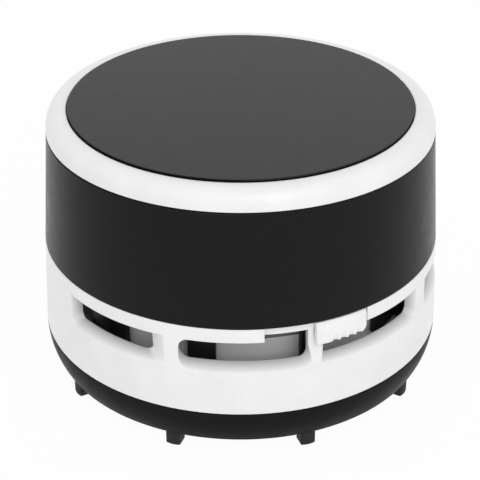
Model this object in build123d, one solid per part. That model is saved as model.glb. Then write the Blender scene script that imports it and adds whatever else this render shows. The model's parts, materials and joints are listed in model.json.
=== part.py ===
from build123d import *
from math import atan2, cos, degrees, hypot, radians, sin, sqrt, tan
import os

# Desktop mini vacuum cleaner for two AA cells, in millimetres.
# Frame: +Z up, origin on the desk under the middle of the body, front at -Y.
# Azimuths are in degrees, 0 at the front (-Y) and growing towards +X.

# ---------------------------------------------------------------- outside
foot_height = 3.3
skirt_height = 8.3
vent_height = 20.4
lid_height = 4.5
vent_bottom_radius = 45.0  # the body's largest radius
skirt_taper = 2.2  # how much smaller the radius is at the skirt's lower edge
vent_taper = 0.8  # at the vent ring's upper edge
band_taper = 1.7  # at the band's upper edge, from the vent ring's
skirt_bulge = 0.6  # how far the skirt's side stands out from a straight cone
shell_gap = 0.25  # shadow line between shells that part
fit_gap = 0.3  # radial room between plugged shells
touch_gap = 0.05  # room between pieces that lie together
overcut = 1.0  # how far a cutter reaches past what it cuts

# ------------------------------------------------------------------- lid
lid_shoulder = 4.75  # from the lid's side to its disc
disc_thickness = 1.7
disc_rise = 0.5  # disc's top above the lid's crest
disc_gap = 0.2
disc_edge_radius = 0.25
lid_crest_width = 1.8
lid_plate = 1.4
lid_plug_depth = 3.0
lid_plug_wall = 1.6

# ------------------------------------------------------------- body band
band_wall = 2.0
band_edge_radius = 0.25

# ------------------------------------------------------------- vent ring
vent_wall = 2.2
vent_floor = 1.5
vent_floor_height = 3.9  # floor's underside above the ring's lower edge
slot_pitch = 40.0
slot_turn = 0.5  # azimuth of the front slot's middle
side_slots = (2, 3, 4, 5, 6, 8)  # pitches from the front slot; the wall is whole at the seventh
slot_top_drop = 3.1  # slots' top edge below the ring's upper edge
slot_height = 5.5  # at the wall's inside
slot_corner = 2.0
scoop_drop = 1.5  # how much lower a slot's lower edge is outside
slot_half_angle = 14.0  # at the wall's inside
slot_start_run = 1.8  # degrees that the end reaches further outside
slot_end_run = 4.8
front_slot_half_angle = 18.1
front_slot_lean = 0.9  # degrees that both ends turn on the way out
switch_slot_half_angle = 16.6
switch_slot_run = 1.7

# ----------------------------------------------------------- slide switch
track_start = 6.3  # azimuths of the knob's recess in the vent ring
track_end = 36.6
track_depth = 1.4
track_lip_slope = 2.3  # fall of the recess's lower edge for each mm outwards
window_rise = 0.95  # top of the slit behind the knob, above the slots' top edge
window_drop = 0.5  # bottom of that slit, below the slots' top edge
knob_span = 15.7
knob_end_gap = 0.3  # degrees between the knob and the recess's end
knob_height = 5.1
knob_drop = 0.3  # knob's top below the ring's upper edge
knob_thickness = 1.1
knob_bevel_height = 1.1
knob_bevel_depth = 0.35
knob_corner = 1.6
knob_play = 0.3
rib_count = 4
rib_pitch = 2.5  # degrees
rib_groove_radius = 0.9
rib_groove_depth = 0.5
rib_groove_tilt = 15.0  # degrees, so that the grooves run out upwards
tongue_play = 0.15
tongue_span = 3.3  # degrees, at the knob's end away from the front
carrier_span = 15.6
carrier_depth = 2.4
carrier_post_span = 6.0
carrier_post_depth = 1.4
carrier_post_rise = 0.9
wiper_thickness = 0.4
wiper_reach = 5.0
contact_thickness = 0.25
contact_width = 1.4
contact_spacing = 2.1
contact_span = 8.0
contact_tail = 3.5  # degrees that a strip reaches on to its lead

# ------------------------------------------------------------- dust tray
tray_floor = 1.6
tray_wall = 1.4
tray_rim_width = 3.4
tray_rim_height = 0.6
mouth_radius = 9.0
mouth_wall = 1.5
mouth_lip = 1.2
riser_height = 8.0
skirt_edge_radius = 0.5
seal_thickness = 0.6

# ------------------------------------------------------------------ feet
foot_count = 9
foot_width = 3.2
foot_depth = 3.0
foot_face_radius = 4.5
foot_inset = 0.1
foot_edge_radius = 0.3
peg_radius = 0.9
peg_length = 1.6

# ------------------------------------------------------------- air guide
exhaust_width = 5.6  # from the vent ring's wall to the cup
guide_wall = 1.4
guide_foot_height = 1.2
guide_foot_gap = 1.3
guide_plate = 1.2
guide_plate_drop = 2.6  # plate's top below the cup's rim
fan_eye_radius = 13.0

# ---------------------------------------------------------------- filter
filter_frame_height = 4.8
filter_frame_wall = 2.8
filter_spokes = 6
filter_spoke_width = 1.8
filter_spoke_height = 1.6
filter_hub_radius = 4.5
filter_pad_thickness = 1.8

# ------------------------------------------------------------------- fan
impeller_radius = 27.0
impeller_plate = 1.2
impeller_hub_radius = 3.4
impeller_hub_height = 6.2
blade_count = 9
blade_height = 5.2
blade_thickness = 1.0
blade_root_radius = 7.0
blade_tip_inset = 0.3
blade_sweep = 32.0
blade_bow = 2.6
fan_gap = 1.0  # above the impeller
blade_gap = 0.8  # below its blades

# ------------------------------------------------------------ motor deck
deck_plate = 2.0
deck_rim_height = 3.0
deck_rim_wall = 1.1
deck_play = 0.25
well_wall = 2.3
well_floor = 1.5
well_depth = 1.3
leg_wall = 1.2
leg_gap = 0.4
screw_legs = ((-50.0, 19.0), (67.0, 33.0), (190.0, 24.0))  # azimuth, span
plain_legs = ((-12.5, 9.0), (23.5, 8.0), (108.0, 9.0), (148.0, 9.0), (232.0, 9.0), (270.0, 9.0))
leg_boss_radius = 2.3
leg_boss_standoff = 2.5  # from the cup to a boss's middle
post_radius = 3.0
post_height = 6.4
post_gap = 0.5  # to the deck's rim, and from its screw's head to the tray's side

# ----------------------------------------------------------------- motor
motor_round = 20.4
motor_flat = 15.4
motor_can_length = 20.3
motor_cap_length = 4.8
motor_boss_radius = 3.1
motor_boss_length = 1.7
motor_wall = 0.6
motor_cap_wall = 1.2
motor_play = 0.3
motor_headroom = 1.3  # from the motor to the lid
magnet_gap = 0.5
magnet_thickness = 2.2
magnet_half_angle = 42.0
magnet_overhang = 1.5
armature_gap = 0.3  # to the can's flats
armature_length = 13.0
armature_slots = 3
armature_slot_width = 1.4
armature_slot_depth = 1.8
commutator_radius = 2.4
commutator_length = 4.0
shaft_radius = 1.0
shaft_inset = 0.5  # shaft's top below the rear boss's face
bearing_clearance = 0.03
bush_radius = 2.4
bush_length = 2.4
terminal_width = 2.6
terminal_thickness = 0.4
terminal_length = 5.0
terminal_drop = 2.0

# ---------------------------------------------------------- battery tray
cell_radius = 7.1
cell_length = 50.5
cell_edge_radius = 0.5
cell_nub_radius = 2.7
cell_nub_length = 1.3
cell_play = 0.4
cell_lift = 0.5
spring_length = 4.0
spring_wire = 0.35
spring_turns = 4
spring_small_radius = 2.0
spring_large_radius = 3.6
plate_thickness = 0.4
contact_plate_width = 10.0
contact_plate_height = 9.0
tab_width = 3.0
tab_reach = 2.0
tab_offset = 3.0  # tab's middle from the cell's axis, towards the motor
tray_plate = 1.6
tray_side = 1.4
tray_lid_gap = 0.9  # from the end walls to the lid's plug
tray_side_height = 6.0
cradle_height = 3.6
cradle_width = 2.0
cradle_place = 14.0

# ---------------------------------------------------------------- screws
screw_radius = 0.9
screw_head_radius = 1.8
screw_head_height = 1.3
screw_head_edge_radius = 0.5
screw_length = 7.0
cross_width = 0.5
cross_depth = 0.6

# ----------------------------------------------------------------- leads
lead_diameter = 1.3
lead_hole_radius = 1.6
lead_standoff = 2.6  # from the motor's chimney to the middle of a lead beside it
lead_lift = 3.0  # middle of a lead above the deck
bend_share = 0.45  # part of the shorter run that a bend takes

# ----------------------------------------------------------- outside radii
skirt_bottom_radius = vent_bottom_radius - skirt_taper
vent_top_radius = vent_bottom_radius - vent_taper
lid_radius = vent_top_radius - band_taper
disc_radius = lid_radius - lid_shoulder

# ------------------------------------------------- heights from the desk
z_skirt = foot_height
z_vent = z_skirt + skirt_height
z_band = z_vent + vent_height
z_vent_floor = z_vent + vent_floor_height
z_vent_floor_top = z_vent_floor + vent_floor
z_tray_floor = z_skirt + tray_rim_height
z_tray_floor_top = z_tray_floor + tray_floor
z_tray_plug_top = z_vent_floor - seal_thickness - 2 * touch_gap
z_slot_top = z_band - slot_top_drop
z_slot_bottom = z_slot_top - slot_height
z_window_top = z_slot_top + window_rise
z_window_bottom = z_slot_top - window_drop
z_knob_top = z_band - knob_drop
z_knob_bottom = z_knob_top - knob_height
z_tongue_top = z_window_top - tongue_play
z_tongue_bottom = z_window_bottom + tongue_play
z_guide_foot_top = z_vent_floor_top + guide_foot_height
z_deck = z_band - deck_plate / 2
z_deck_top = z_deck + deck_plate
z_contact_top = z_deck_top + contact_thickness
z_well = z_deck_top - well_depth  # the motor stands here
z_motor_cap = z_well + motor_can_length
z_motor_top = z_motor_cap + motor_cap_length
z_motor_boss_top = z_motor_top + motor_boss_length
z_terminal = z_motor_top - terminal_drop
z_impeller_top = z_well - well_floor - fan_gap
z_hub_bottom = z_impeller_top - impeller_hub_height
z_guide_plate_top = z_impeller_top - impeller_plate - blade_height - blade_gap
z_guide_top = z_guide_plate_top + guide_plate_drop
z_posts = z_deck_top + post_height
z_tray_plate_top = z_posts + tray_plate
z_cell = z_tray_plate_top + cell_lift + cell_radius
z_tab = z_cell - contact_plate_height / 4
z_lid_plate = z_motor_boss_top + motor_headroom
z_disc_seat = z_lid_plate + lid_plate
z_disc_top = z_disc_seat + disc_thickness
z_crest = z_disc_top - disc_rise
z_lid = z_crest - lid_height
z_lid_plug = z_lid - lid_plug_depth
z_tray_end = z_lid_plug - tray_lid_gap

# ----------------------------------------------------- lengths and angles
knob_start = track_end - knob_end_gap - knob_span
knob_end = knob_start + knob_span
tongue_start = knob_end - tongue_span
carrier_start = knob_end - carrier_span
knob_travel = tongue_start - knob_start - knob_end_gap  # towards the front
post_start = (carrier_start + knob_end - carrier_post_span) / 2
post_end = post_start + carrier_post_span
cell_x = motor_flat / 2 + motor_play + tray_side + cell_play + cell_radius
tray_side_x = cell_x + cell_radius + cell_play + tray_side
bay_half_length = (cell_length + spring_length) / 2 + plate_thickness + touch_gap
tray_end_y = bay_half_length + tray_side
tab_x = cell_x - tab_offset
tab_end_y = tray_end_y + tab_reach
post_x = tray_side_x + post_gap + screw_head_radius
motor_lead_y = motor_round / 2 + motor_play + tray_side + lead_standoff
armature_radius = motor_flat / 2 - motor_wall - armature_gap
guide_radius = vent_top_radius - vent_wall - exhaust_width
guide_inner = guide_radius - guide_wall
leg_boss_circle = guide_radius + leg_boss_standoff


# --------------------------------------------------------------- helpers
def outer_radius(z):
    """Outside radius of the body's tapered wall at a height."""
    if z <= z_band:
        share = (z - z_vent) / vent_height
        return vent_bottom_radius - vent_taper * share
    share = (z - z_band) / (z_lid - z_band)
    return vent_top_radius - band_taper * share


def band_inside(z):
    """Radius that pieces plugged into the band keep to."""
    return outer_radius(z) - band_wall - fit_gap


def on_circle(radius, azimuth, z=0.0):
    """Location at a radius and azimuth, with local -Y pointing outwards."""
    return Rot(0, 0, azimuth) * Pos(0, -radius, z)


def point_on_circle(radius, azimuth, z=0.0):
    return Vector(radius * sin(radians(azimuth)), -radius * cos(radians(azimuth)), z)


def disc(radius, z_low, z_high):
    return Pos(0, 0, (z_low + z_high) / 2) * Cylinder(radius, z_high - z_low)


def tube(outer, inner, z_low, z_high):
    return disc(outer, z_low, z_high) - disc(inner, z_low - overcut, z_high + overcut)


def turned(points, start=0.0, end=360.0):
    """Solid turned about Z from a closed (radius, height) outline, between two azimuths."""
    profile = Plane.XZ * make_face(Polyline(*points, close=True))
    return Rot(0, 0, start - 90) * revolve(profile, Axis.Z, end - start)


def sector(inner, outer, z_low, z_high, start, end):
    """Piece of a ring between two azimuths."""
    return turned([(inner, z_low), (outer, z_low), (outer, z_high), (inner, z_high)], start, end)


def circle_edges(part, radius, z):
    """The part's round edges about Z with this radius at this height."""
    edges = part.edges().filter_by(GeomType.CIRCLE)
    return [
        edge for edge in edges
        if abs(edge.radius - radius) < 0.01 and abs(edge.center(CenterOf.BOUNDING_BOX).Z - z) < 0.01
    ]


# ------------------------------------------------------------------- lid
def make_lid_ring():
    """White lid with a rounded shoulder, a recess for the disc and a plug below."""
    plug_outer = band_inside(z_lid)
    plug_inner = plug_outer - lid_plug_wall
    recess = disc_radius + disc_gap
    crest = recess + lid_crest_width
    base = z_lid + shell_gap
    shoulder = z_lid + 2 * shell_gap
    outline = [
        Line((lid_radius, base), (lid_radius, shoulder)),
        EllipticalCenterArc(
            (crest, shoulder), lid_radius - crest, z_crest - shoulder, start_angle=0, arc_size=90),
        Polyline(
            (crest, z_crest), (recess, z_crest), (recess, z_disc_seat), (0, z_disc_seat), (0, z_lid_plate),
            (plug_inner, z_lid_plate), (plug_inner, z_lid_plug), (plug_outer, z_lid_plug),
            (plug_outer, base), (lid_radius, base)),
    ]
    return revolve(Plane.XZ * make_face(outline), Axis.Z)


def make_lid_disc():
    plate = disc(disc_radius, z_disc_seat, z_disc_top)
    return fillet(circle_edges(plate, disc_radius, z_disc_top), disc_edge_radius)


# ---------------------------------------------------------------- shells
def make_body_band():
    low = outer_radius(z_band)
    high = outer_radius(z_lid)
    band = turned([(low - band_wall, z_band), (low, z_band), (high, z_lid), (high - band_wall, z_lid)])
    edges = circle_edges(band, low, z_band) + circle_edges(band, high, z_lid)
    return fillet(edges, band_edge_radius)


def slot_flank(azimuth, run):
    """Plan line of a slot's end, from inside the wall to outside it."""
    outside = outer_radius(z_slot_bottom)
    near = point_on_circle(outside - vent_wall, azimuth)
    far = point_on_circle(outside, azimuth + run)
    step = (far - near) / vent_wall * overcut
    return near - step * 2, far + step * 3


def slot_prism(half_angle, start_run, end_run):
    """Upright prism between a slot's ends, for a slot in the middle of the front."""
    start_near, start_far = slot_flank(-half_angle, -start_run)
    end_near, end_far = slot_flank(half_angle, end_run)
    front = (0, -2 * vent_bottom_radius)
    plan = make_face(Polyline(start_near, start_far, front, end_far, end_near, close=True))
    return Pos(0, 0, z_slot_bottom - slot_height) * extrude(plan, 3 * slot_height)


def slot_band():
    """Space of the slots' height round the front, its lower side falling outwards."""
    outside = outer_radius(z_slot_bottom)
    near = outside - vent_wall - overcut
    far = outside + 2 * overcut
    slope = scoop_drop / vent_wall
    near_low = z_slot_bottom + slope * overcut
    far_low = z_slot_bottom - scoop_drop - slope * 2 * overcut
    reach = 1.5 * slot_pitch
    return turned([(near, near_low), (far, far_low), (far, z_slot_top), (near, z_slot_top)], -reach, reach)


def crosses_wall(edge):
    """Whether an edge runs through the wall rather than along it."""
    start = edge @ 0
    end = edge @ 1
    return abs(hypot(start.X, start.Y) - hypot(end.X, end.Y)) > vent_wall / 2


def corner_of(edge):
    """Name of the slot's corner that an edge belongs to."""
    centre = edge.center()
    height = "low" if centre.Z < z_slot_top - slot_height / 2 else "high"
    return height + (" start" if centre.X < 0 else " end")


def slot_cutter(half_angle, start_run, end_run, corners=("low start", "low end")):
    """Cutter for a slot in the middle of the front, with the named corners rounded."""
    cutter = slot_band() & slot_prism(half_angle, start_run, end_run)
    for corner in corners:
        edges = [edge for edge in cutter.edges() if crosses_wall(edge) and corner_of(edge) == corner]
        cutter = fillet(edges, slot_corner)
    return cutter


def track_cutter():
    """The knob's recess, open to the band above, the slit behind the knob, and the front
    slot's higher top in the recess."""
    floor_low = outer_radius(z_knob_bottom) - track_depth
    floor_high = outer_radius(z_band) - track_depth
    far = outer_radius(z_knob_bottom) + overcut
    low = z_knob_bottom - knob_play
    recess = turned(
        [
            (floor_low, low), (far, low - track_lip_slope * (far - floor_low)), (far, z_band + overcut),
            (floor_high, z_band + overcut), (floor_high, z_band),
        ],
        track_start, track_end)
    near = floor_high - vent_wall
    slit = sector(near, far, z_window_bottom, z_window_top, knob_start, track_end)
    raised = sector(near, far, z_window_bottom, z_window_top, track_start, knob_start)
    return recess + slit + (raised & front_slot_place() * front_slot_prism())


def front_slot_place():
    return Rot(0, 0, slot_turn)


def front_slot_prism():
    return slot_prism(front_slot_half_angle, -front_slot_lean, front_slot_lean)


def make_vent_ring():
    low = outer_radius(z_vent)
    high = outer_radius(z_band)
    floor_inner = guide_inner - fit_gap
    wall_at_floor = outer_radius(z_vent_floor) - vent_wall
    wall_at_floor_top = outer_radius(z_vent_floor_top) - vent_wall
    ring = turned([
        (low - vent_wall, z_vent), (low, z_vent), (high, z_band), (high - vent_wall, z_band),
        (wall_at_floor_top, z_vent_floor_top), (floor_inner, z_vent_floor_top),
        (floor_inner, z_vent_floor), (wall_at_floor, z_vent_floor),
    ])
    ring -= front_slot_place() * slot_cutter(
        front_slot_half_angle, -front_slot_lean, front_slot_lean, ("high start", "low start", "low end"))
    ring -= Rot(0, 0, slot_turn + slot_pitch) * slot_cutter(
        switch_slot_half_angle, switch_slot_run, switch_slot_run, ("low end",))
    side_cutter = slot_cutter(slot_half_angle, slot_start_run, slot_end_run)
    for pitches in side_slots:
        ring -= Rot(0, 0, slot_turn + pitches * slot_pitch) * side_cutter
    ring -= track_cutter()
    return ring - screw_holes(z_vent_floor, z_vent_floor_top)


def screw_holes(z_low, z_high):
    """Through holes for the screws that hold the deck's legs."""
    hole = disc(screw_radius + touch_gap, z_low - overcut, z_high + overcut)
    return Compound([on_circle(leg_boss_circle, azimuth) * hole for azimuth, _ in screw_legs])


def make_air_guide():
    """Cup on the vent ring's floor, with the fan's eye in its plate."""
    plate_bottom = z_guide_plate_top - guide_plate
    foot_radius = outer_radius(z_vent_floor_top) - vent_wall - guide_foot_gap
    guide = turned([
        (guide_inner, z_vent_floor_top), (foot_radius, z_vent_floor_top), (foot_radius, z_guide_foot_top),
        (guide_radius, z_guide_foot_top), (guide_radius, z_guide_top), (guide_inner, z_guide_top),
        (guide_inner, z_guide_plate_top), (fan_eye_radius, z_guide_plate_top),
        (fan_eye_radius, plate_bottom), (guide_inner, plate_bottom),
    ])
    return guide - screw_holes(z_vent_floor_top, z_guide_foot_top)


# ------------------------------------------------------------------ tray
def make_base_tray():
    """Skirt, floor with the suction mouth, and the plug that holds in the vent ring."""
    top = z_vent - shell_gap
    plug_outer = outer_radius(z_tray_plug_top) - vent_wall - fit_gap
    plug_inner = plug_outer - tray_wall
    rim_inner = skirt_bottom_radius - tray_rim_width
    lip_radius = mouth_radius + mouth_wall
    middle = (z_skirt + top) / 2
    middle_radius = (skirt_bottom_radius + vent_bottom_radius) / 2 + skirt_bulge
    outline = [
        ThreePointArc((skirt_bottom_radius, z_skirt), (middle_radius, middle), (vent_bottom_radius, top)),
        Polyline(
            (vent_bottom_radius, top), (plug_outer, top), (plug_outer, z_tray_plug_top),
            (plug_inner, z_tray_plug_top), (plug_inner, z_tray_floor_top), (lip_radius, z_tray_floor_top),
            (lip_radius, z_tray_floor_top + riser_height), (mouth_radius, z_tray_floor_top + riser_height),
            (mouth_radius, z_tray_floor - mouth_lip), (lip_radius, z_tray_floor - mouth_lip),
            (lip_radius, z_tray_floor), (rim_inner, z_tray_floor), (rim_inner, z_skirt),
            (skirt_bottom_radius, z_skirt)),
    ]
    tray = revolve(Plane.XZ * make_face(outline), Axis.Z)
    tray = fillet(circle_edges(tray, skirt_bottom_radius, z_skirt), skirt_edge_radius)
    hole = disc(peg_radius + touch_gap, z_skirt - overcut, z_skirt + peg_length + touch_gap)
    for index in range(foot_count):
        tray -= foot_place(index) * hole
    return tray


def foot_place(index):
    middle = skirt_bottom_radius - foot_inset - foot_depth / 2
    return on_circle(middle, (index + 0.5) * 360 / foot_count)


def make_foot(index):
    """Small block with a convex face, on a peg in the tray's rim."""
    block = Pos(0, 0, foot_height / 2) * Box(foot_width, foot_depth, foot_height)
    face_centre = foot_face_radius - foot_depth / 2
    block &= Pos(0, face_centre, foot_height / 2) * Cylinder(foot_face_radius, foot_height)
    block = fillet(block.edges().group_by(Axis.Z)[0], foot_edge_radius)
    return foot_place(index) * (block + disc(peg_radius, foot_height, foot_height + peg_length))


def make_tray_seal():
    outer = outer_radius(z_vent_floor) - vent_wall - fit_gap
    return tube(outer, outer - tray_wall, z_vent_floor - seal_thickness, z_vent_floor)


# ---------------------------------------------------------------- filter
def make_filter_frame():
    outer = guide_inner - 2 * fit_gap
    inner = outer - filter_frame_wall
    top = z_guide_plate_top - guide_plate - touch_gap
    low = top - filter_frame_height
    frame = tube(outer, inner, low, top)
    frame += disc(filter_hub_radius, low, low + filter_spoke_height)
    spoke_start = filter_hub_radius - filter_spoke_width / 2
    spoke_length = inner + filter_frame_wall / 2 - spoke_start
    spoke = Pos(0, -(spoke_start + spoke_length / 2), low + filter_spoke_height / 2) * Box(
        filter_spoke_width, spoke_length, filter_spoke_height)
    for index in range(filter_spokes):
        frame += Rot(0, 0, index * 360 / filter_spokes) * spoke
    return frame


def make_filter_pad():
    radius = guide_inner - 2 * fit_gap - filter_frame_wall - touch_gap
    top = z_guide_plate_top - guide_plate - 2 * touch_gap
    return disc(radius, top - filter_pad_thickness, top)


# ------------------------------------------------------------------- fan
def make_blade():
    """One backward-curved blade below the impeller's plate."""
    root = Vector(0, -blade_root_radius)
    tip = point_on_circle(impeller_radius - blade_tip_inset, blade_sweep)
    along = (tip - root).normalized()
    side = Vector(-along.Y, along.X)
    middle = (root + tip) / 2 + side * blade_bow
    half = side * (blade_thickness / 2)
    outline = [
        ThreePointArc(root + half, middle + half, tip + half),
        Line(tip + half, tip - half),
        ThreePointArc(tip - half, middle - half, root - half),
        Line(root - half, root + half),
    ]
    low = z_impeller_top - impeller_plate - blade_height
    return Pos(0, 0, low) * extrude(make_face(outline), blade_height + impeller_plate / 2)


def make_impeller():
    wheel = disc(impeller_radius, z_impeller_top - impeller_plate, z_impeller_top)
    wheel += disc(impeller_hub_radius, z_hub_bottom, z_impeller_top)
    blade = make_blade()
    for index in range(blade_count):
        wheel += Rot(0, 0, index * 360 / blade_count) * blade
    return wheel - disc(shaft_radius, z_hub_bottom - overcut, z_impeller_top + overcut)


def make_motor_shaft():
    return disc(shaft_radius, z_hub_bottom, z_motor_boss_top - shaft_inset)


def make_motor_armature():
    low = z_well + (motor_can_length - armature_length) / 2
    top = low + armature_length
    body = disc(armature_radius, low, top)
    slot = Pos(0, -armature_radius, low + armature_length / 2) * Box(
        armature_slot_width, 2 * armature_slot_depth, armature_length + overcut)
    for index in range(armature_slots):
        body -= Rot(0, 0, index * 360 / armature_slots) * slot
    body += disc(commutator_radius, top, top + commutator_length)
    return body - disc(shaft_radius, low - overcut, top + commutator_length + overcut)


# ------------------------------------------------------------ motor deck
def motor_section(grow=0.0):
    """Round motor outline with two flats facing the cells."""
    return Circle(motor_round / 2 + grow) & Rectangle(motor_flat + 2 * grow, motor_round + 2 * grow)


def motor_block(z_low, z_high, grow=0.0):
    return Pos(0, 0, z_low) * extrude(motor_section(grow), z_high - z_low)


def make_motor_deck():
    """Deck over the fan, with the motor's well, legs down to the vent ring and posts up."""
    radius = outer_radius(z_deck_top) - max(vent_wall, band_wall) - deck_play
    rim_radius = deck_rim_radius()
    deck = disc(radius, z_deck, z_deck_top)
    deck += tube(rim_radius, rim_radius - deck_rim_wall, z_deck_top, z_deck_top + deck_rim_height)
    deck += disc(motor_round / 2 + motor_play + well_wall, z_well - well_floor, z_deck_top)
    deck -= motor_block(z_well, z_deck_top + overcut, motor_play)
    deck -= disc(motor_boss_radius + touch_gap, z_well - well_floor - overcut, z_well + overcut)
    for x, y in post_places():
        deck += Pos(x, y, 0) * disc(post_radius, z_deck_top, z_posts)
        deck -= Pos(x, y, 0) * disc(screw_radius, z_posts - screw_length, z_posts + overcut)
    leg_inner = guide_radius + leg_gap
    leg_outer = leg_inner + leg_wall
    leg_top = z_deck + deck_plate / 2
    for azimuth, span in screw_legs + plain_legs:
        deck += sector(
            leg_inner, leg_outer, z_guide_foot_top, leg_top, azimuth - span / 2, azimuth + span / 2)
    for azimuth, _ in screw_legs:
        place = on_circle(leg_boss_circle, azimuth)
        deck += place * disc(leg_boss_radius, z_guide_foot_top, leg_top)
        deck -= place * disc(screw_radius, z_guide_foot_top - overcut, z_guide_foot_top + screw_length)
    return deck - post_slit()


def deck_rim_radius():
    return outer_radius(z_deck_top + deck_rim_height) - max(vent_wall, band_wall) - deck_play


def post_circle():
    return deck_rim_radius() - deck_rim_wall - post_gap - post_radius


def post_places():
    """The posts stand beside the cells' bays, just inside the deck's rim."""
    post_y = sqrt(post_circle() ** 2 - post_x ** 2)
    return [(x, y) for x in (-post_x, post_x) for y in (-post_y, post_y)]


def post_slit():
    """Slit in the deck that the switch carrier's post moves in."""
    return sector(
        carrier_radius() - carrier_post_depth - knob_play, carrier_radius() + knob_play + vent_wall,
        z_deck - overcut, z_deck_top + deck_rim_height + overcut,
        post_start - knob_travel - knob_end_gap * 2, post_end + knob_end_gap * 2)


# ---------------------------------------------------------------- switch
def carrier_radius():
    """Outside radius of the carrier, which slides inside the ring's wall."""
    return outer_radius(z_window_top) - max(vent_wall, band_wall) - knob_play


def make_switch_knob():
    """Finger plate flush in the ring's recess, with a tongue through the slit."""
    low_radius = outer_radius(z_knob_bottom)
    top_radius = outer_radius(z_knob_top)
    bevel = z_knob_top - knob_bevel_height
    inner = top_radius - knob_thickness
    plate = turned(
        [
            (inner, z_knob_bottom), (low_radius, z_knob_bottom), (outer_radius(bevel), bevel),
            (top_radius - knob_bevel_depth, z_knob_top), (inner, z_knob_top),
        ],
        knob_start, knob_end)
    plate -= knob_corner_cutter()
    for index in range(rib_count):
        plate -= rib_groove(knob_end - (index + 1) * rib_pitch)
    return plate + sector(
        carrier_radius(), inner + knob_thickness / 2, z_tongue_bottom, z_tongue_top, tongue_start, knob_end)


def rib_groove(azimuth):
    """Cutter for a finger groove that is deepest at the plate's lower edge."""
    centre = outer_radius(z_knob_bottom) + rib_groove_radius - rib_groove_depth
    groove = Pos(0, 0, knob_height / 2) * Cylinder(rib_groove_radius, knob_height + 2 * overcut)
    return on_circle(centre, azimuth, z_knob_bottom) * Rot(rib_groove_tilt, 0, 0) * groove


def knob_corner_cutter():
    """Rounds the knob's lower corner at the end away from the front."""
    outer = outer_radius(z_knob_bottom)
    corner_angle = degrees(knob_corner / outer)
    square = sector(
        outer - knob_thickness - overcut, outer + overcut, z_knob_bottom - overcut,
        z_knob_bottom + knob_corner, knob_end - corner_angle, knob_end + corner_angle)
    centre = Rot(0, 0, knob_end - corner_angle) * Pos(0, -outer, z_knob_bottom + knob_corner)
    return square - centre * Rot(90, 0, 0) * Cylinder(knob_corner, 6 * knob_thickness)


def make_switch_carrier():
    """Slider inside the wall, with a post up through the deck's slit."""
    outer = carrier_radius()
    slider = sector(
        outer - carrier_depth, outer, z_tongue_bottom, z_deck - knob_play, carrier_start, knob_end)
    post = sector(
        outer - carrier_post_depth, outer, z_tongue_bottom, z_deck_top + carrier_post_rise, post_start, post_end)
    return slider + post


def make_switch_wiper():
    """Brass bridge on the carrier's post, just over the deck's contact strips."""
    outer = carrier_radius() - carrier_post_depth
    low = z_contact_top + touch_gap
    return sector(outer - wiper_reach, outer, low, low + wiper_thickness, post_start, post_end)


def contact_radii():
    """Middle radii of the outer and the inner contact strip."""
    outer = carrier_radius() - carrier_post_depth - knob_play - contact_width
    return outer, outer - contact_spacing


def contact_start():
    """Azimuth where the strips start, beyond the wiper's last place, for the leads."""
    return post_start - knob_travel - contact_tail


def make_switch_contacts():
    """Two strips on the deck, which the wiper joins at the front end of its travel."""
    half = contact_width / 2
    start = contact_start()
    return Compound([
        sector(radius - half, radius + half, z_deck_top, z_contact_top, start, start + contact_tail + contact_span)
        for radius in contact_radii()
    ])


# ----------------------------------------------------------------- motor
def make_motor_can():
    can = motor_block(z_well, z_motor_cap)
    can -= motor_block(z_well + motor_wall, z_motor_cap + overcut, -motor_wall)
    can += disc(motor_boss_radius, z_well - motor_boss_length, z_well + motor_wall)
    return can - disc(bush_radius, z_well - motor_boss_length - overcut, z_well + motor_wall + overcut)


def make_motor_end_cap():
    cap = motor_block(z_motor_cap, z_motor_top)
    cap -= motor_block(z_motor_cap - overcut, z_motor_top - motor_cap_wall, -motor_cap_wall)
    cap += disc(motor_boss_radius, z_motor_top - motor_cap_wall, z_motor_boss_top)
    return cap - disc(bush_radius, z_motor_cap - overcut, z_motor_boss_top + overcut)


def make_motor_bushes():
    low = z_well - motor_boss_length
    bore = shaft_radius + bearing_clearance
    return Compound([
        tube(bush_radius, bore, low, low + bush_length),
        tube(bush_radius, bore, z_motor_boss_top - bush_length, z_motor_boss_top),
    ])


def make_motor_magnets():
    inner = armature_radius + magnet_gap
    low = z_well + (motor_can_length - armature_length) / 2 - magnet_overhang
    high = low + armature_length + 2 * magnet_overhang
    limits = motor_block(low, high, -motor_wall)
    magnets = []
    for middle in (0, 180):
        magnet = sector(
            inner, inner + magnet_thickness, low, high, middle - magnet_half_angle, middle + magnet_half_angle)
        magnets.append((magnet & limits).solids()[0])
    return Compound(magnets)


def make_motor_terminals():
    tab = Box(terminal_width, terminal_length, terminal_thickness)
    y = (motor_round + terminal_length) / 2
    return Compound([Pos(0, side * y, z_terminal) * tab for side in (-1, 1)])


# ---------------------------------------------------------- battery tray
def make_battery_tray():
    """Plate on the deck's posts, with bays for the cells and a chimney round the motor."""
    tray = disc(band_inside(z_tray_plate_top), z_posts, z_tray_plate_top) + tray_walls()
    chimney_top = z_motor_top + tray_side
    cradle = Box(2 * (cell_radius + cell_play), cradle_width, cradle_height)
    for side in (-1, 1):
        for y in (-cradle_place, cradle_place):
            tray += Pos(side * cell_x, y, z_tray_plate_top + cradle_height / 2) * cradle
        tray -= Pos(side * cell_x, 0, z_cell) * Rot(90, 0, 0) * Cylinder(
            cell_radius + touch_gap, 2 * bay_half_length)
    tray += motor_block(z_posts, chimney_top, motor_play + tray_side)
    tray -= motor_block(z_posts - overcut, z_motor_top + touch_gap, motor_play)
    tray -= disc(motor_boss_radius + motor_play, z_motor_top, chimney_top + overcut)
    return tray - tray_windows() - tray_holes()


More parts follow.
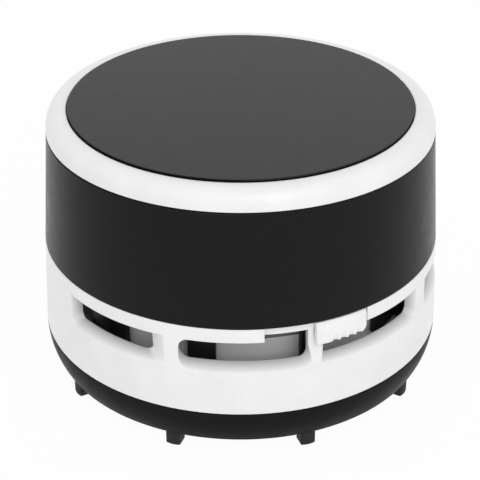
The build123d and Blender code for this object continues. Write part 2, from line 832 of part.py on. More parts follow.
def tray_walls():
    """End and side walls of the bays, kept inside the band."""
    end_height = z_tray_end - z_posts
    side_height = z_tray_plate_top + tray_side_height - z_posts
    end_wall = Box(2 * tray_side_x, tray_side, end_height)
    side_wall = Box(tray_side, 2 * tray_end_y, side_height)
    walls = []
    for side in (-1, 1):
        walls.append(Pos(0, side * (tray_end_y - tray_side / 2), z_posts + end_height / 2) * end_wall)
        walls.append(Pos(side * (tray_side_x - tray_side / 2), 0, z_posts + side_height / 2) * side_wall)
    inside = turned([
        (0, z_posts), (band_inside(z_tray_plate_top), z_posts), (band_inside(z_lid), z_lid), (0, z_lid)])
    return (walls[0] + walls[1:]) & inside


def tray_windows():
    """Openings for the motor's terminals and the contact plates' tabs."""
    terminal = Box(terminal_width + 2 * motor_play, 2 * motor_lead_y, 2 * terminal_drop)
    tab = Box(tab_width + 2 * touch_gap, 2 * tray_side, plate_thickness + 2 * touch_gap)
    windows = [Pos(0, 0, z_terminal) * terminal]
    for side in (-1, 1):
        windows.append(Pos(side * tab_x, -tray_end_y + tray_side / 2, z_tab) * tab)
    return Compound(windows)


def tray_holes():
    """Holes in the plate for its screws and for the leads."""
    screw_hole = disc(screw_radius + touch_gap, z_posts - overcut, z_tray_plate_top + overcut)
    lead_hole = disc(lead_hole_radius, z_posts - overcut, z_tray_plate_top + overcut)
    holes = [Pos(x, y, 0) * screw_hole for x, y in post_places()]
    holes += [Pos(x, y, 0) * lead_hole for x, y in lead_places()]
    return Compound(holes)


def bay_place(side):
    """Where a cell made along +Z lies in its bay, its nub towards +Y in the +X bay."""
    spring_end = -side * (bay_half_length - plate_thickness - touch_gap)
    return Pos(side * cell_x, spring_end + side * spring_length, z_cell) * Rot(-90 * side, 0, 0)


def make_battery(side):
    body_length = cell_length - cell_nub_length
    cell = disc(cell_radius, 0, body_length)
    cell = fillet(
        circle_edges(cell, cell_radius, 0) + circle_edges(cell, cell_radius, body_length), cell_edge_radius)
    cell += disc(cell_nub_radius, body_length / 2, cell_length)
    return bay_place(side) * cell


def make_battery_springs():
    """Conical contact springs, small end on the cell."""
    coil_height = spring_length - 2 * spring_wire - 2 * touch_gap
    slope = (spring_large_radius - spring_small_radius) / coil_height
    path = Helix(
        coil_height / spring_turns, coil_height, spring_small_radius,
        cone_angle=Vector(1, slope).get_angle(Vector(1, 0)))
    coil = sweep(Plane(origin=path @ 0, z_dir=path % 0) * Circle(spring_wire), path)
    return Compound([
        bay_place(side) * Pos(0, 0, -spring_wire - touch_gap) * Rot(180, 0, 0) * coil for side in (-1, 1)
    ])


def make_battery_plates():
    """Two separate plates at the front end, each with a tab out through the wall."""
    y = -(bay_half_length - plate_thickness / 2)
    plate = Box(contact_plate_width, plate_thickness, contact_plate_height)
    tab_length = tab_end_y - bay_half_length + plate_thickness
    tab = Box(tab_width, tab_length, plate_thickness)
    plates = []
    for side in (-1, 1):
        plates.append(
            Pos(side * cell_x, y, z_cell) * plate + Pos(side * tab_x, -tab_end_y + tab_length / 2, z_tab) * tab)
    return Compound(plates)


def make_battery_link():
    """One plate that joins both cells at the rear end."""
    y = bay_half_length - plate_thickness / 2
    return Pos(0, y, z_cell) * Box(2 * cell_x + contact_plate_width, plate_thickness, contact_plate_height)


# ---------------------------------------------------------------- screws
def make_screw():
    """Pan-head screw, head up, with its seat at the origin."""
    head = disc(screw_head_radius, 0, screw_head_height)
    head = fillet(circle_edges(head, screw_head_radius, screw_head_height), screw_head_edge_radius)
    cross = Box(cross_width, 1.3 * screw_head_radius, 2 * cross_depth)
    for turn in (0, 90):
        head -= Rot(0, 0, turn) * Pos(0, 0, screw_head_height) * cross
    return head + disc(screw_radius, -screw_length, 0)


def make_deck_screws():
    screw = Rot(180, 0, 0) * make_screw()
    return Compound([on_circle(leg_boss_circle, azimuth, z_vent_floor) * screw for azimuth, _ in screw_legs])


def make_tray_screws():
    screw = make_screw()
    return Compound([Pos(x, y, z_tray_plate_top) * screw for x, y in post_places()])


# ----------------------------------------------------------------- leads
def lead_places():
    """Where leads pass the tray's plate: beside the motor, and between tabs and band."""
    wall_y = sqrt((outer_radius(z_tab) - band_wall) ** 2 - tab_x ** 2)
    outside = -(tab_end_y + wall_y) / 2
    return (0, -motor_lead_y), (0, motor_lead_y), (-tab_x, outside), (tab_x, outside)


def on_the_way(start, end, share, z=z_deck_top + lead_lift):
    """Point at a share of the way round the motor between two (radius, azimuth) places."""
    radius = start[0] + (end[0] - start[0]) * share
    azimuth = start[1] + (end[1] - start[1]) * share
    return point_on_circle(radius, azimuth, z)


def polar(x, y):
    """Radius and azimuth of a place."""
    return hypot(x, y), degrees(atan2(x, -y))


def make_lead(points):
    """Round lead along straight runs with the largest tangent arcs that fit."""
    points = [Vector(*point) for point in points]
    radii = []
    for before, corner, after in zip(points, points[1:], points[2:]):
        into = corner - before
        out = after - corner
        turn = radians(into.get_angle(out))
        radii.append(bend_share * min(into.length, out.length) / tan(turn / 2))
    path = FilletPolyline(*points, radius=radii)
    section = Plane(origin=path @ 0, z_dir=path % 0) * Circle(lead_diameter / 2)
    return sweep(section, path)


def strip_end(radius):
    """Where a lead meets a contact strip's tail, as radius and azimuth."""
    return radius, contact_start() + contact_tail / 3


def z_under_terminal():
    return z_terminal - terminal_thickness / 2 - touch_gap


def down_from_tab(x, y):
    """First points of a lead that leaves a tab and passes down through the tray's plate."""
    return [(x, -tab_end_y, z_tab), (x, y, z_tab), (x, y, z_deck_top + lead_lift)]


def make_lead_positive():
    """From the positive plate's tab, down past the tray and along to the outer strip."""
    hole = lead_places()[2]
    end = strip_end(contact_radii()[0])
    return make_lead(down_from_tab(*hole) + [
        on_the_way(polar(*hole), end, 0.7),
        point_on_circle(*end, z_contact_top + lead_diameter / 2),
    ])


def make_lead_switch():
    """From the inner strip in under the tray and up beside the motor."""
    x, y = lead_places()[0]
    start = strip_end(contact_radii()[1])
    return make_lead([
        point_on_circle(*start, z_contact_top + lead_diameter / 2),
        on_the_way(start, polar(x, y), 0.4),
        (x, y, z_deck_top + lead_lift),
        (x, y, z_under_terminal()),
    ])


def make_lead_negative():
    """From the negative plate's tab, inside the posts to the motor's rear terminal."""
    hole = lead_places()[3]
    x, y = lead_places()[1]
    beside_post = post_circle() - post_radius - lead_diameter, polar(post_x, post_places()[0][1])[1]
    return make_lead(down_from_tab(*hole) + [
        on_the_way(beside_post, polar(x, y), 0.0),
        on_the_way(beside_post, polar(x, y), 0.4),
        on_the_way(beside_post, polar(x, y), 0.8),
        (x, y, z_deck_top + lead_lift),
        (x, y, z_under_terminal()),
    ])


# ---------------------------------------------------------------- export
parts = {
    "lid_ring": make_lid_ring(),
    "lid_disc": make_lid_disc(),
    "body_band": make_body_band(),
    "vent_ring": make_vent_ring(),
    "air_guide": make_air_guide(),
    "base_tray": make_base_tray(),
    "tray_seal": make_tray_seal(),
    "filter_frame": make_filter_frame(),
    "filter_pad": make_filter_pad(),
    "impeller": make_impeller(),
    "motor_shaft": make_motor_shaft(),
    "motor_armature": make_motor_armature(),
    "motor_deck": make_motor_deck(),
    "motor_can": make_motor_can(),
    "motor_end_cap": make_motor_end_cap(),
    "motor_bushes": make_motor_bushes(),
    "motor_magnets": make_motor_magnets(),
    "motor_terminals": make_motor_terminals(),
    "switch_knob": make_switch_knob(),
    "switch_carrier": make_switch_carrier(),
    "switch_wiper": make_switch_wiper(),
    "switch_contacts": make_switch_contacts(),
    "battery_tray": make_battery_tray(),
    "battery_1": make_battery(-1),
    "battery_2": make_battery(1),
    "battery_springs": make_battery_springs(),
    "battery_plates": make_battery_plates(),
    "battery_link": make_battery_link(),
    "deck_screws": make_deck_screws(),
    "tray_screws": make_tray_screws(),
    "lead_positive": make_lead_positive(),
    "lead_switch": make_lead_switch(),
    "lead_negative": make_lead_negative(),
}
for foot_index in range(foot_count):
    parts[f"foot_{foot_index + 1}"] = make_foot(foot_index)

os.makedirs("parts", exist_ok=True)
for name, shape in parts.items():
    export_step(shape, f"parts/{name}.step")
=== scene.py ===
"""Looks of the desktop mini vacuum cleaner: fine pieces, materials, light and camera. Metres, +Z up."""
import json
import math

import bmesh
import bpy
from mathutils import Matrix, Vector, noise


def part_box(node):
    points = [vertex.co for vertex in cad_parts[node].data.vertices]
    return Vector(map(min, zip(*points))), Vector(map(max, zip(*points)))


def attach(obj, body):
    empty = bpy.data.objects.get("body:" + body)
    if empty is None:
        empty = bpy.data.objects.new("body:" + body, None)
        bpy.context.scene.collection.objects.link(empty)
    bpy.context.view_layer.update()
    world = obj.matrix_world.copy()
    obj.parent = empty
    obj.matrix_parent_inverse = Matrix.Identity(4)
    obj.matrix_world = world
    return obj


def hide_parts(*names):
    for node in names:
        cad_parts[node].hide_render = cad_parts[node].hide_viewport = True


MM = 0.001

# Camera
look_at = Vector((0, 0, 27.807 * MM))
camera_distance = 342.85 * MM
camera_elevation = 29.747  # degrees
camera_lens = 112.15
camera_shift_x = -0.0013
camera_clip_start = 0.01

# Light
sky_light = 0.79  # world strength that falls on the object
sky_seen = 1.0  # world strength that the camera, glosses and glass see
floor_seen_share = 0.96  # share of plain white in the floor that they see; the rest holds the shadow
floor_size = 3.0
floor_colour = (0.9, 0.9, 0.9, 1)
white = (1, 1, 1, 1)
key_power = 1.3
fill_power = 0.3
top_power = 0.1

# Surfaces
edge_rounding = 0.3 * MM
edge_samples = 8
disc_gloss = 0.16  # specular level of the disc's top
disc_wall_gloss = 0.032
disc_wall_painted_shade = 0.1  # painted shade: brightness of the disc's wall beside its slot's colour, darkened as if in shadow
speck_pitch = 2.6 * MM  # size of the cells that may each hold a speck of dust on the band
slot_face_radius = 44.4 * MM  # painted shade in the ring's slots starts inside this radius
slot_depth = 1.8 * MM  # and is at its fullest this much deeper
slot_painted_shade = 0.54  # brightness of a face fully under the painted shade
cell_band_start = 13 * MM  # where the film's paler band starts, from the middle towards the plus end
cell_band_edge = 0.1 * MM
cell_band_colour = (0.55, 0.56, 0.54, 1)

# Pieces
felt_edge_points = 8  # steps round the pad's rounded edge
felt_rings = 44  # steps from the pad's middle to its edge
felt_wave = 2.4 * MM  # size and depth of the unevenness of the pad's faces
felt_wave_depth = 0.35 * MM
seal_width = 1.4 * MM
seal_shoulder = 0.55  # share of the seal's height at which its crown starts
crown_points = 9
cell_segments = 96
cell_crease = math.radians(40)

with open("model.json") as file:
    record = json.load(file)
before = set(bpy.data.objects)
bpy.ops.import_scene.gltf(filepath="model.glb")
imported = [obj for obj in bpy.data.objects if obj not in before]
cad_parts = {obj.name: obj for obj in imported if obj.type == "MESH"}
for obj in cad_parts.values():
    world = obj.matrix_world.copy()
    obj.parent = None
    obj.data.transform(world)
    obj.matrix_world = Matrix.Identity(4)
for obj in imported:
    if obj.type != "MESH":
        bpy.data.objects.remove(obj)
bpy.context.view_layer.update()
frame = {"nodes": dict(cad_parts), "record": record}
record = frame["record"]
colours = {m["slot"]: m["base_color"] for m in record["materials"]}
slot_of = {part["node"]: part["material_slot"] for part in record["subparts"]}


# ------------------------------------------------------------ node helpers
class Surface:
    """A material with a Principled shader and short ways to add nodes to it."""

    def __init__(self, slot, roughness, metallic=0.0, specular=0.5, coat=0.0):
        self.data = bpy.data.materials.new(slot)
        self.data.use_nodes = True
        self.tree = self.data.node_tree
        self.shader = self.tree.nodes["Principled BSDF"]
        self.colour = tuple(colours[slot][:3]) + (1.0,)
        self.place = self.add("ShaderNodeTexCoord").outputs["Object"]
        self.put(self.shader, "Base Color", self.colour)
        self.put(self.shader, "Roughness", roughness)
        self.put(self.shader, "Metallic", metallic)
        self.put(self.shader, "Specular IOR Level", specular)
        self.put(self.shader, "Coat Weight", coat)

    def add(self, kind, inputs=None, **settings):
        node = self.tree.nodes.new(kind)
        for name, value in settings.items():
            setattr(node, name, value)
        for name, value in (inputs or {}).items():
            self.put(node, name, value)
        return node

    def put(self, node, name, value):
        """Links value to the input of this name or number, or sets it where it is no socket."""
        socket = node.inputs[name]
        if isinstance(value, bpy.types.NodeSocket):
            self.tree.links.new(value, socket)
        else:
            socket.default_value = value

    def base(self):
        """The colour that the shader has so far."""
        return self.shader.inputs["Base Color"].links[0].from_socket

    def normal(self):
        """World normal of the face, without bump."""
        return self.add("ShaderNodeNewGeometry").outputs["Normal"]

    def stretched(self, scale):
        """Object place with its axes scaled, so that a texture on it runs along the smallest."""
        return self.add("ShaderNodeMapping", {"Vector": self.place, "Scale": scale}).outputs["Vector"]

    def noise(self, size, detail=2.0, place=None):
        """Noise from 0 to 1 with features of this size in metres."""
        node = self.add("ShaderNodeTexNoise", {
            "Vector": place or self.place, "Scale": 1 / size, "Detail": detail, "Roughness": 0.55})
        return node.outputs["Fac"]

    def cells(self, size, output="Distance"):
        """Distance from the middle of the nearest cell of this size in metres, or the cell's own colour."""
        node = self.add("ShaderNodeTexVoronoi", {"Vector": self.place, "Scale": 1 / size})
        return node.outputs[output]

    def spread(self, value, low, high, start=0.3, end=0.7):
        """Maps value's range from start to end on to low to high, and holds it there."""
        node = self.add("ShaderNodeMapRange", {
            "Value": value, "From Min": start, "From Max": end, "To Min": low, "To Max": high})
        return node.outputs["Result"]

    def maths(self, operation, first, second=0.0):
        return self.add("ShaderNodeMath", {0: first, 1: second}, operation=operation).outputs["Value"]

    def vectors(self, operation, first, second=(0, 0, 0), output="Vector"):
        return self.add("ShaderNodeVectorMath", {0: first, 1: second}, operation=operation).outputs[output]

    def mixed(self, share, first, second):
        """Colour between first and second. A mix of colours has its sockets at these numbers."""
        return self.add("ShaderNodeMix", {0: share, 6: first, 7: second}, data_type="RGBA").outputs[2]

    def shade(self, factor):
        """The slot's own colour, lighter or darker."""
        return tuple(min(1.0, c * factor) for c in self.colour[:3]) + (1.0,)

    def relief(self, height, depth, under=None):
        """Bump of this depth in metres, over another normal or a softly rounded edge."""
        node = self.add("ShaderNodeBump", {
            "Height": height, "Distance": depth, "Strength": 1.0, "Normal": under or self.rounded()})
        return node.outputs["Normal"]

    def rounded(self):
        """Normal with softly rounded edges."""
        return self.add("ShaderNodeBevel", {"Radius": edge_rounding}, samples=edge_samples).outputs["Normal"]

    def edges(self):
        """1 on sharp edges, 0 on faces."""
        likeness = self.vectors("DOT_PRODUCT", self.rounded(), self.normal(), "Value")
        return self.spread(likeness, 1, 0, 0.80, 0.99)


# --------------------------------------------------------------- materials
def moulded(
        slot, roughness, specular=0.5, grain=0.12 * MM, depth=0.002 * MM, wave=0.02 * MM, edge_highlight=1.25,
        tone=1.0, swing=0.06):
    """Moulded plastic: fine grain, slow unevenness, smudges in the gloss and a painted highlight on its
    edges.
    """
    s = Surface(slot, roughness, specular=specular)
    cloud = s.noise(9 * MM, 3)
    base = s.mixed(s.spread(cloud, 0, 1), s.shade(0.965 * tone), s.shade(1.02 * tone))
    # painted highlight: sharp edges are painted lighter by the factor edge_highlight
    s.put(s.shader, "Base Color", s.mixed(s.edges(), base, s.shade(edge_highlight * tone)))
    smudge = s.noise(4 * MM, 4)
    s.put(s.shader, "Roughness", s.spread(smudge, roughness - swing, roughness + swing))
    slow = s.relief(s.noise(14 * MM, 1), wave)
    s.put(s.shader, "Normal", s.relief(s.noise(grain, 2), depth, slow))
    return s


def disc_plastic(slot):
    """Satin top disc: an even, very fine grain that scatters its reflection, and its wall painted darker as
    painted shade.
    """
    s = moulded(
        slot, 0.36, specular=disc_gloss, grain=0.10 * MM, depth=0.0015 * MM, wave=0.003 * MM, edge_highlight=1.0,
        tone=0.75, swing=0.02)
    upwards = s.add("ShaderNodeSeparateXYZ", {"Vector": s.normal()}).outputs["Z"]
    # painted shade: faces turned away from straight up are painted darker and given less gloss
    wall = s.spread(upwards, 1, 0, 0.5, 0.97)
    s.put(s.shader, "Base Color", s.mixed(wall, s.base(), s.shade(disc_wall_painted_shade)))
    s.put(s.shader, "Specular IOR Level", s.spread(wall, disc_gloss, disc_wall_gloss, 0, 1))
    return s


def vent_plastic(slot):
    """White ring whose slot recesses are painted a darker grey as painted shade, more of it deeper in."""
    s = moulded(slot, 0.33, edge_highlight=1.04)
    plan = s.vectors("MULTIPLY", s.place, (1, 1, 0))
    radius = s.vectors("LENGTH", plan, output="Value")
    facing = s.vectors("DOT_PRODUCT", s.vectors("NORMALIZE", plan), s.normal(), "Value")
    # painted shade: faces that lie deeper than slot_face_radius and turn away from outwards are painted
    # darker
    deep = s.spread(radius, 0, 1, slot_face_radius, slot_face_radius - slot_depth)
    turned_away = s.spread(facing, 1, 0, 0.6, 0.95)
    recess_painted_shade = s.maths("MULTIPLY", deep, turned_away)
    s.put(s.shader, "Base Color", s.mixed(recess_painted_shade, s.base(), s.shade(slot_painted_shade)))
    return s


def band_plastic(slot):
    """Black band with a satin gloss and a few tiny specks of dust."""
    s = moulded(
        slot, 0.3, specular=0.09, grain=0.2 * MM, depth=0.0008 * MM, wave=0.004 * MM, edge_highlight=2.4, tone=0.55,
        swing=0.04)
    near = s.spread(s.cells(speck_pitch), 1, 0, 0.018, 0.05)
    rare = s.spread(s.cells(speck_pitch, "Color"), 0, 1, 0.78, 0.80)
    s.put(s.shader, "Base Color", s.mixed(s.maths("MULTIPLY", near, rare), s.base(), s.shade(6)))
    return s


def metal(slot, roughness, brushed=(1, 1, 1), depth=0.002 * MM):
    """Plated or ground steel with directional scratches and a slight tarnish."""
    s = Surface(slot, roughness, metallic=1.0)
    lines = s.noise(0.12 * MM, 3, s.stretched(brushed))
    s.put(s.shader, "Roughness", s.spread(lines, roughness - 0.08, roughness + 0.10))
    tarnish = s.spread(s.noise(3 * MM, 4), 0, 1, 0.35, 0.75)
    base = s.mixed(tarnish, s.shade(1.06), s.shade(0.86))
    s.put(s.shader, "Base Color", s.mixed(s.edges(), base, s.shade(1.3)))
    s.put(s.shader, "Normal", s.relief(lines, depth))
    return s


def rubber(slot, roughness=0.62):
    """Soft moulded rubber or pvc with a matte skin."""
    s = Surface(slot, roughness, specular=0.35)
    s.put(s.shader, "Base Color", s.mixed(s.spread(s.noise(1.2 * MM, 4), 0, 1), s.shade(0.85), s.shade(1.25)))
    s.put(s.shader, "Roughness", s.spread(s.noise(0.7 * MM), roughness - 0.1, roughness + 0.1))
    s.put(s.shader, "Normal", s.relief(s.noise(0.09 * MM), 0.006 * MM))
    return s


def felt(slot):
    """Pressed fibres: crossing fine strands, fuzz and a greyish tint where dust settles."""
    s = Surface(slot, 0.95, specular=0.15)
    s.put(s.shader, "Sheen Weight", 0.35)
    s.put(s.shader, "Sheen Roughness", 0.6)
    along = s.noise(0.25 * MM, 4, s.stretched((1, 0.15, 1)))
    across = s.noise(0.25 * MM, 4, s.stretched((0.15, 1, 1)))
    strands = s.maths("MAXIMUM", along, across)
    tone = s.mixed(s.spread(strands, 0, 1, 0.4, 0.75), s.shade(0.62), s.shade(1.1))
    dust = s.spread(s.noise(6 * MM, 4), 0, 0.45)
    s.put(s.shader, "Base Color", s.mixed(dust, tone, s.shade(0.55)))
    s.put(s.shader, "Normal", s.relief(strands, 0.12 * MM))
    return s


def foam(slot):
    """Closed-cell foam rubber with open pores in its skin."""
    s = Surface(slot, 0.85, specular=0.25)
    pores = s.spread(s.cells(0.35 * MM), 0, 1, 0.1, 0.5)
    s.put(s.shader, "Base Color", s.mixed(pores, s.shade(0.5), s.shade(1.5)))
    s.put(s.shader, "Normal", s.relief(pores, 0.05 * MM))
    return s


def bronze(slot):
    """Sintered bronze, dark with oil in its pores."""
    s = metal(slot, 0.42)
    pores = s.spread(s.cells(0.18 * MM), 1, 0, 0.1, 0.35)
    s.put(s.shader, "Base Color", s.mixed(pores, s.base(), s.shade(0.35)))
    return s


def sintered(slot):
    """Ferrite magnet with a coarse, dull grain."""
    s = Surface(slot, 0.7, metallic=0.2)
    s.put(s.shader, "Base Color", s.mixed(s.spread(s.noise(0.3 * MM, 5), 0, 1), s.shade(0.7), s.shade(1.6)))
    s.put(s.shader, "Normal", s.relief(s.noise(0.15 * MM, 4), 0.02 * MM))
    return s


def copper_windings(slot):
    """Enamelled wire wound along the armature, between dark laminations."""
    s = Surface(slot, 0.35, metallic=0.9)
    wave = {"Vector": s.place, "Scale": 1 / (1.2 * MM), "Distortion": 1.5}
    wires = s.add("ShaderNodeTexWave", wave, bands_direction="Z").outputs["Fac"]
    s.put(s.shader, "Base Color", s.mixed(wires, s.shade(0.5), s.shade(1.4)))
    s.put(s.shader, "Normal", s.relief(wires, 0.06 * MM))
    return s


def cell_film(slot):
    """Printed film round a cell: a dark body, a paler band by its plus end and fine flow lines."""
    s = Surface(slot, 0.28, specular=0.5, coat=0.4)
    flow = s.noise(0.5 * MM, 3, s.stretched((1, 0.05, 1)))
    body = s.mixed(s.spread(flow, 0, 1), s.shade(0.85), s.shade(1.2))
    axes = s.add("ShaderNodeSeparateXYZ", {"Vector": s.place})
    towards_plus = s.maths("MULTIPLY", axes.outputs["Y"], s.maths("SIGN", axes.outputs["X"]))
    pale = s.spread(towards_plus, 0, 1, cell_band_start, cell_band_start + cell_band_edge)
    s.put(s.shader, "Base Color", s.mixed(pale, body, cell_band_colour))
    s.put(s.shader, "Roughness", s.spread(s.noise(2 * MM, 3), 0.2, 0.36))
    s.put(s.shader, "Normal", s.relief(s.noise(1.6 * MM, 2), 0.012 * MM))
    return s


makers = {
    "lid_white": lambda slot: moulded(slot, 0.33, edge_highlight=1.04),
    "disc_black": disc_plastic,
    "band_black": band_plastic,
    "vent_white": vent_plastic,
    "tray_black": lambda slot: moulded(slot, 0.42, specular=0.05, edge_highlight=1.5, tone=0.45),
    "foot_black": lambda slot: rubber(slot, 0.7),
    "guide_grey": lambda slot: moulded(slot, 0.34),
    "deck_black": lambda slot: moulded(slot, 0.5, specular=0.3),
    "knob_white": lambda slot: moulded(slot, 0.3, edge_highlight=1.03),
    "carrier_white": lambda slot: moulded(slot, 0.5),
    "impeller_grey": lambda slot: moulded(slot, 0.45),
    "shaft_steel": lambda slot: metal(slot, 0.2, (1, 1, 12)),
    "screw_steel": lambda slot: metal(slot, 0.3),
    "motor_steel": lambda slot: metal(slot, 0.26, (1, 1, 0.06)),
    "motor_cap_plastic": lambda slot: moulded(slot, 0.5),
    "magnet_dark": sintered,
    "bush_bronze": bronze,
    "armature_copper": copper_windings,
    "contact_brass": lambda slot: metal(slot, 0.28, (0.08, 1, 1)),
    "plate_nickel": lambda slot: metal(slot, 0.24, (0.08, 1, 1)),
    "spring_nickel": lambda slot: metal(slot, 0.18),
    "battery_tray_black": lambda slot: moulded(slot, 0.5, specular=0.35),
    "cell_skin": cell_film,
    "filter_frame_black": lambda slot: moulded(slot, 0.5, specular=0.35),
    "filter_felt": felt,
    "seal_rubber": foam,
    "lead_red": lambda slot: rubber(slot, 0.45),
    "lead_black": lambda slot: rubber(slot, 0.45),
}


# ------------------------------------------------------------------ pieces
def turned(name, outline, segments=160):
    """Mesh turned about Z from a closed outline of (radius, height) points, in metres."""
    mesh = bmesh.new()
    rings = []
    for index in range(segments):
        angle = 2 * math.pi * index / segments
        rings.append([mesh.verts.new((r * math.sin(angle), -r * math.cos(angle), z)) for r, z in outline])
    count = len(outline)
    for index, ring in enumerate(rings):
        following = rings[(index + 1) % segments]
        for k in range(count):
            mesh.faces.new((ring[k], following[k], following[(k + 1) % count], ring[(k + 1) % count]))
    bmesh.ops.remove_doubles(mesh, verts=mesh.verts, dist=1e-7)
    bmesh.ops.recalc_face_normals(mesh, faces=mesh.faces)
    return piece(name, mesh)


def piece(name, mesh):
    """Object with smooth faces from a finished bmesh."""
    data = bpy.data.meshes.new(name)
    mesh.to_mesh(data)
    mesh.free()
    obj = bpy.data.objects.new(name, data)
    bpy.context.scene.collection.objects.link(obj)
    for face in data.polygons:
        face.use_smooth = True
    return obj


def ripple(obj, size, depth, middle):
    """Small uneven moves of the points along Z, only ever towards the piece's middle height."""
    for vertex in obj.data.vertices:
        wave = (noise.noise(vertex.co / size) + 1) / 2
        vertex.co.z += math.copysign(depth * wave, middle - vertex.co.z)


def make_felt_pad():
    """Felt pad with soft edges and a slightly uneven face."""
    low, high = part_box("filter_pad")
    radius = (high.x - low.x) / 2
    half = (high.z - low.z) / 2
    middle = (low.z + high.z) / 2
    face = [(radius - half) * index / felt_rings for index in range(felt_rings + 1)]
    angles = [math.pi * index / felt_edge_points for index in range(1, felt_edge_points)]
    outline = [(r, middle - half) for r in face]
    outline += [(radius - half + half * math.sin(a), middle - half * math.cos(a)) for a in angles]
    outline += [(r, middle + half) for r in reversed(face)]
    pad = turned("filter_felt_pad", outline)
    ripple(pad, felt_wave, felt_wave_depth, middle)
    return finish_piece(pad, "filter_pad")


def make_seal():
    """Foam ring with a crowned lower face."""
    low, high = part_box("tray_seal")
    outer = (high.x - low.x) / 2
    height = high.z - low.z
    outline = [(outer, high.z), (outer - seal_width, high.z)]
    for index in range(crown_points):
        angle = math.pi * (index + 0.5) / crown_points
        radius = outer - seal_width / 2 - seal_width / 2 * math.cos(angle)
        drop = seal_shoulder + (1 - seal_shoulder) * math.sin(angle)
        outline.append((radius, high.z - height * drop))
    return finish_piece(turned("seal_foam_ring", outline), "tray_seal")


def make_cell(node, plus_end):
    """Steel can of a cell with its ends, and the film shrunk round it. Its plus end faces +Y where plus_end
    is 1 and -Y where it is -1. The outlines are points of (radius, height) up from the minus end."""
    low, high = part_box(node)
    middle = (low + high) / 2
    length = high.y - low.y
    radius = (high.z - low.z) / 2
    shoulder = length - 1.3 * MM  # height of the plus end's rim, under the button
    can_radius = radius - 0.2 * MM
    film_radius = radius - 0.15 * MM  # inside of the film
    film_corner = radius - 0.08 * MM
    film_mouth = 6.1 * MM  # radius to which the film is shrunk over both ends
    can = [
        (0, 0), (4.9 * MM, 0), (5.3 * MM, 0.25 * MM), (6.4 * MM, 0.3 * MM), (can_radius, 1.0 * MM),
        (can_radius, shoulder - 1.1 * MM), (6.4 * MM, shoulder - 0.5 * MM),
        (4.6 * MM, shoulder - 0.45 * MM), (4.2 * MM, shoulder - 0.1 * MM), (3.1 * MM, shoulder),
        (2.7 * MM, shoulder + 0.3 * MM), (2.65 * MM, length - 0.25 * MM), (2.4 * MM, length), (0, length)]
    film = [
        (film_mouth, 0.05 * MM), (6.7 * MM, 0.12 * MM), (film_corner, 0.4 * MM), (radius, 0.9 * MM),
        (radius, shoulder - 1.0 * MM), (film_corner, shoulder - 0.4 * MM), (6.7 * MM, shoulder - 0.1 * MM),
        (film_mouth, shoulder), (film_mouth, shoulder - 0.3 * MM), (film_radius, shoulder - 1.2 * MM),
        (film_radius, 1.1 * MM), (film_mouth, 0.3 * MM)]
    start = middle - Vector((0, plus_end * length / 2, 0))
    place = Matrix.Translation(start) @ Matrix.Rotation(-plus_end * math.pi / 2, 4, "X")
    for part, outline, slot in (("can", can, "plate_nickel"), ("film", film, "cell_skin")):
        obj = turned(f"{node}_{part}", outline, cell_segments)
        obj.data.transform(place)
        obj.data.set_sharp_from_angle(angle=cell_crease)
        finish_piece(obj, node, slot=slot)


def finish_piece(obj, *nodes, slot=None):
    """The piece takes the place, the body and, unless another is given, the slot of CAD nodes."""
    slot = slot or slot_of[nodes[0]]
    obj.data.materials.append(materials[slot])
    for body, members in record["behaviour"]["bodies"].items():
        if nodes[0] in members:
            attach(obj, body)
    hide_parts(*nodes)
    return obj


# ------------------------------------------------------------------- stage
def ray_kinds(tree):
    """1 for rays that see the background directly, in a gloss or through glass."""
    path = tree.nodes.new("ShaderNodeLightPath")
    total = path.outputs["Is Camera Ray"]
    for kind in ("Is Glossy Ray", "Is Transmission Ray"):
        larger = tree.nodes.new("ShaderNodeMath")
        larger.operation = "MAXIMUM"
        tree.links.new(total, larger.inputs[0])
        tree.links.new(path.outputs[kind], larger.inputs[1])
        total = larger.outputs[0]
    return total


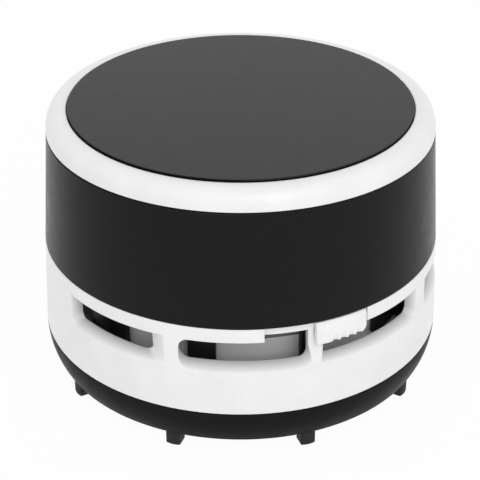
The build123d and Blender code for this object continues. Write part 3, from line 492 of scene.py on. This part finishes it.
def make_floor():
    """Pale floor that holds the shadow and is seen as nearly white from above, and as nothing from below."""
    mesh = bmesh.new()
    bmesh.ops.create_grid(mesh, x_segments=1, y_segments=1, size=floor_size / 2)
    floor = piece("floor", mesh)
    material = bpy.data.materials.new("floor_white")
    material.use_nodes = True
    tree = material.node_tree
    tree.nodes.clear()
    diffuse = tree.nodes.new("ShaderNodeBsdfDiffuse")
    diffuse.inputs["Color"].default_value = floor_colour
    glow = tree.nodes.new("ShaderNodeEmission")
    glow.inputs["Color"].default_value = white
    share = tree.nodes.new("ShaderNodeMath")
    share.operation = "MULTIPLY"
    share.inputs[1].default_value = floor_seen_share
    tree.links.new(ray_kinds(tree), share.inputs[0])
    mix = tree.nodes.new("ShaderNodeMixShader")
    tree.links.new(share.outputs[0], mix.inputs[0])
    tree.links.new(diffuse.outputs[0], mix.inputs[1])
    tree.links.new(glow.outputs[0], mix.inputs[2])
    clear = tree.nodes.new("ShaderNodeBsdfTransparent")
    side = tree.nodes.new("ShaderNodeNewGeometry")
    sided = tree.nodes.new("ShaderNodeMixShader")
    tree.links.new(side.outputs["Backfacing"], sided.inputs[0])
    tree.links.new(mix.outputs[0], sided.inputs[1])
    tree.links.new(clear.outputs[0], sided.inputs[2])
    output = tree.nodes.new("ShaderNodeOutputMaterial")
    tree.links.new(sided.outputs[0], output.inputs["Surface"])
    floor.data.materials.append(material)


def make_world():
    """White surroundings, a little weaker as light than as what is seen."""
    world = bpy.data.worlds.new("studio")
    bpy.context.scene.world = world
    world.use_nodes = True
    tree = world.node_tree
    background = tree.nodes["Background"]
    background.inputs["Color"].default_value = white
    strength = tree.nodes.new("ShaderNodeMapRange")
    strength.inputs["To Min"].default_value = sky_light
    strength.inputs["To Max"].default_value = sky_seen
    tree.links.new(ray_kinds(tree), strength.inputs["Value"])
    tree.links.new(strength.outputs["Result"], background.inputs["Strength"])


def aimed(name, data, azimuth, elevation, distance):
    """Lamp or camera aimed at the body's middle, its azimuth in degrees from the front towards +X."""
    obj = bpy.data.objects.new(name, data)
    a, e = math.radians(azimuth), math.radians(elevation)
    away = Vector((math.sin(a) * math.cos(e), -math.cos(a) * math.cos(e), math.sin(e)))
    obj.location = look_at + away * distance
    obj.rotation_euler = (-away).to_track_quat("-Z", "Y").to_euler()
    bpy.context.scene.collection.objects.link(obj)
    return obj


def make_softbox(name, power, size, azimuth, elevation, distance):
    light = bpy.data.lights.new(name, "AREA")
    light.shape = "SQUARE"
    light.size = size
    light.energy = power
    aimed(name, light, azimuth, elevation, distance)


def make_camera():
    data = bpy.data.cameras.new("camera")
    data.lens = camera_lens
    data.shift_x = camera_shift_x
    data.clip_start = camera_clip_start
    bpy.context.scene.camera = aimed("camera", data, 0, camera_elevation, camera_distance)


# ------------------------------------------------------------------- build
materials = {slot: maker(slot).data for slot, maker in makers.items()}
for node, obj in frame["nodes"].items():
    obj.data.materials.clear()
    obj.data.materials.append(materials[slot_of[node]])
make_felt_pad()
make_seal()
make_cell("battery_1", -1)
make_cell("battery_2", 1)
make_floor()
make_world()
make_softbox("key", key_power, size=0.45, azimuth=20, elevation=34, distance=0.75)
make_softbox("fill", fill_power, size=0.6, azimuth=-50, elevation=34, distance=0.8)
make_softbox("top", top_power, size=0.5, azimuth=180, elevation=65, distance=0.8)
make_camera()
bpy.context.scene.view_settings.view_transform = "Standard"
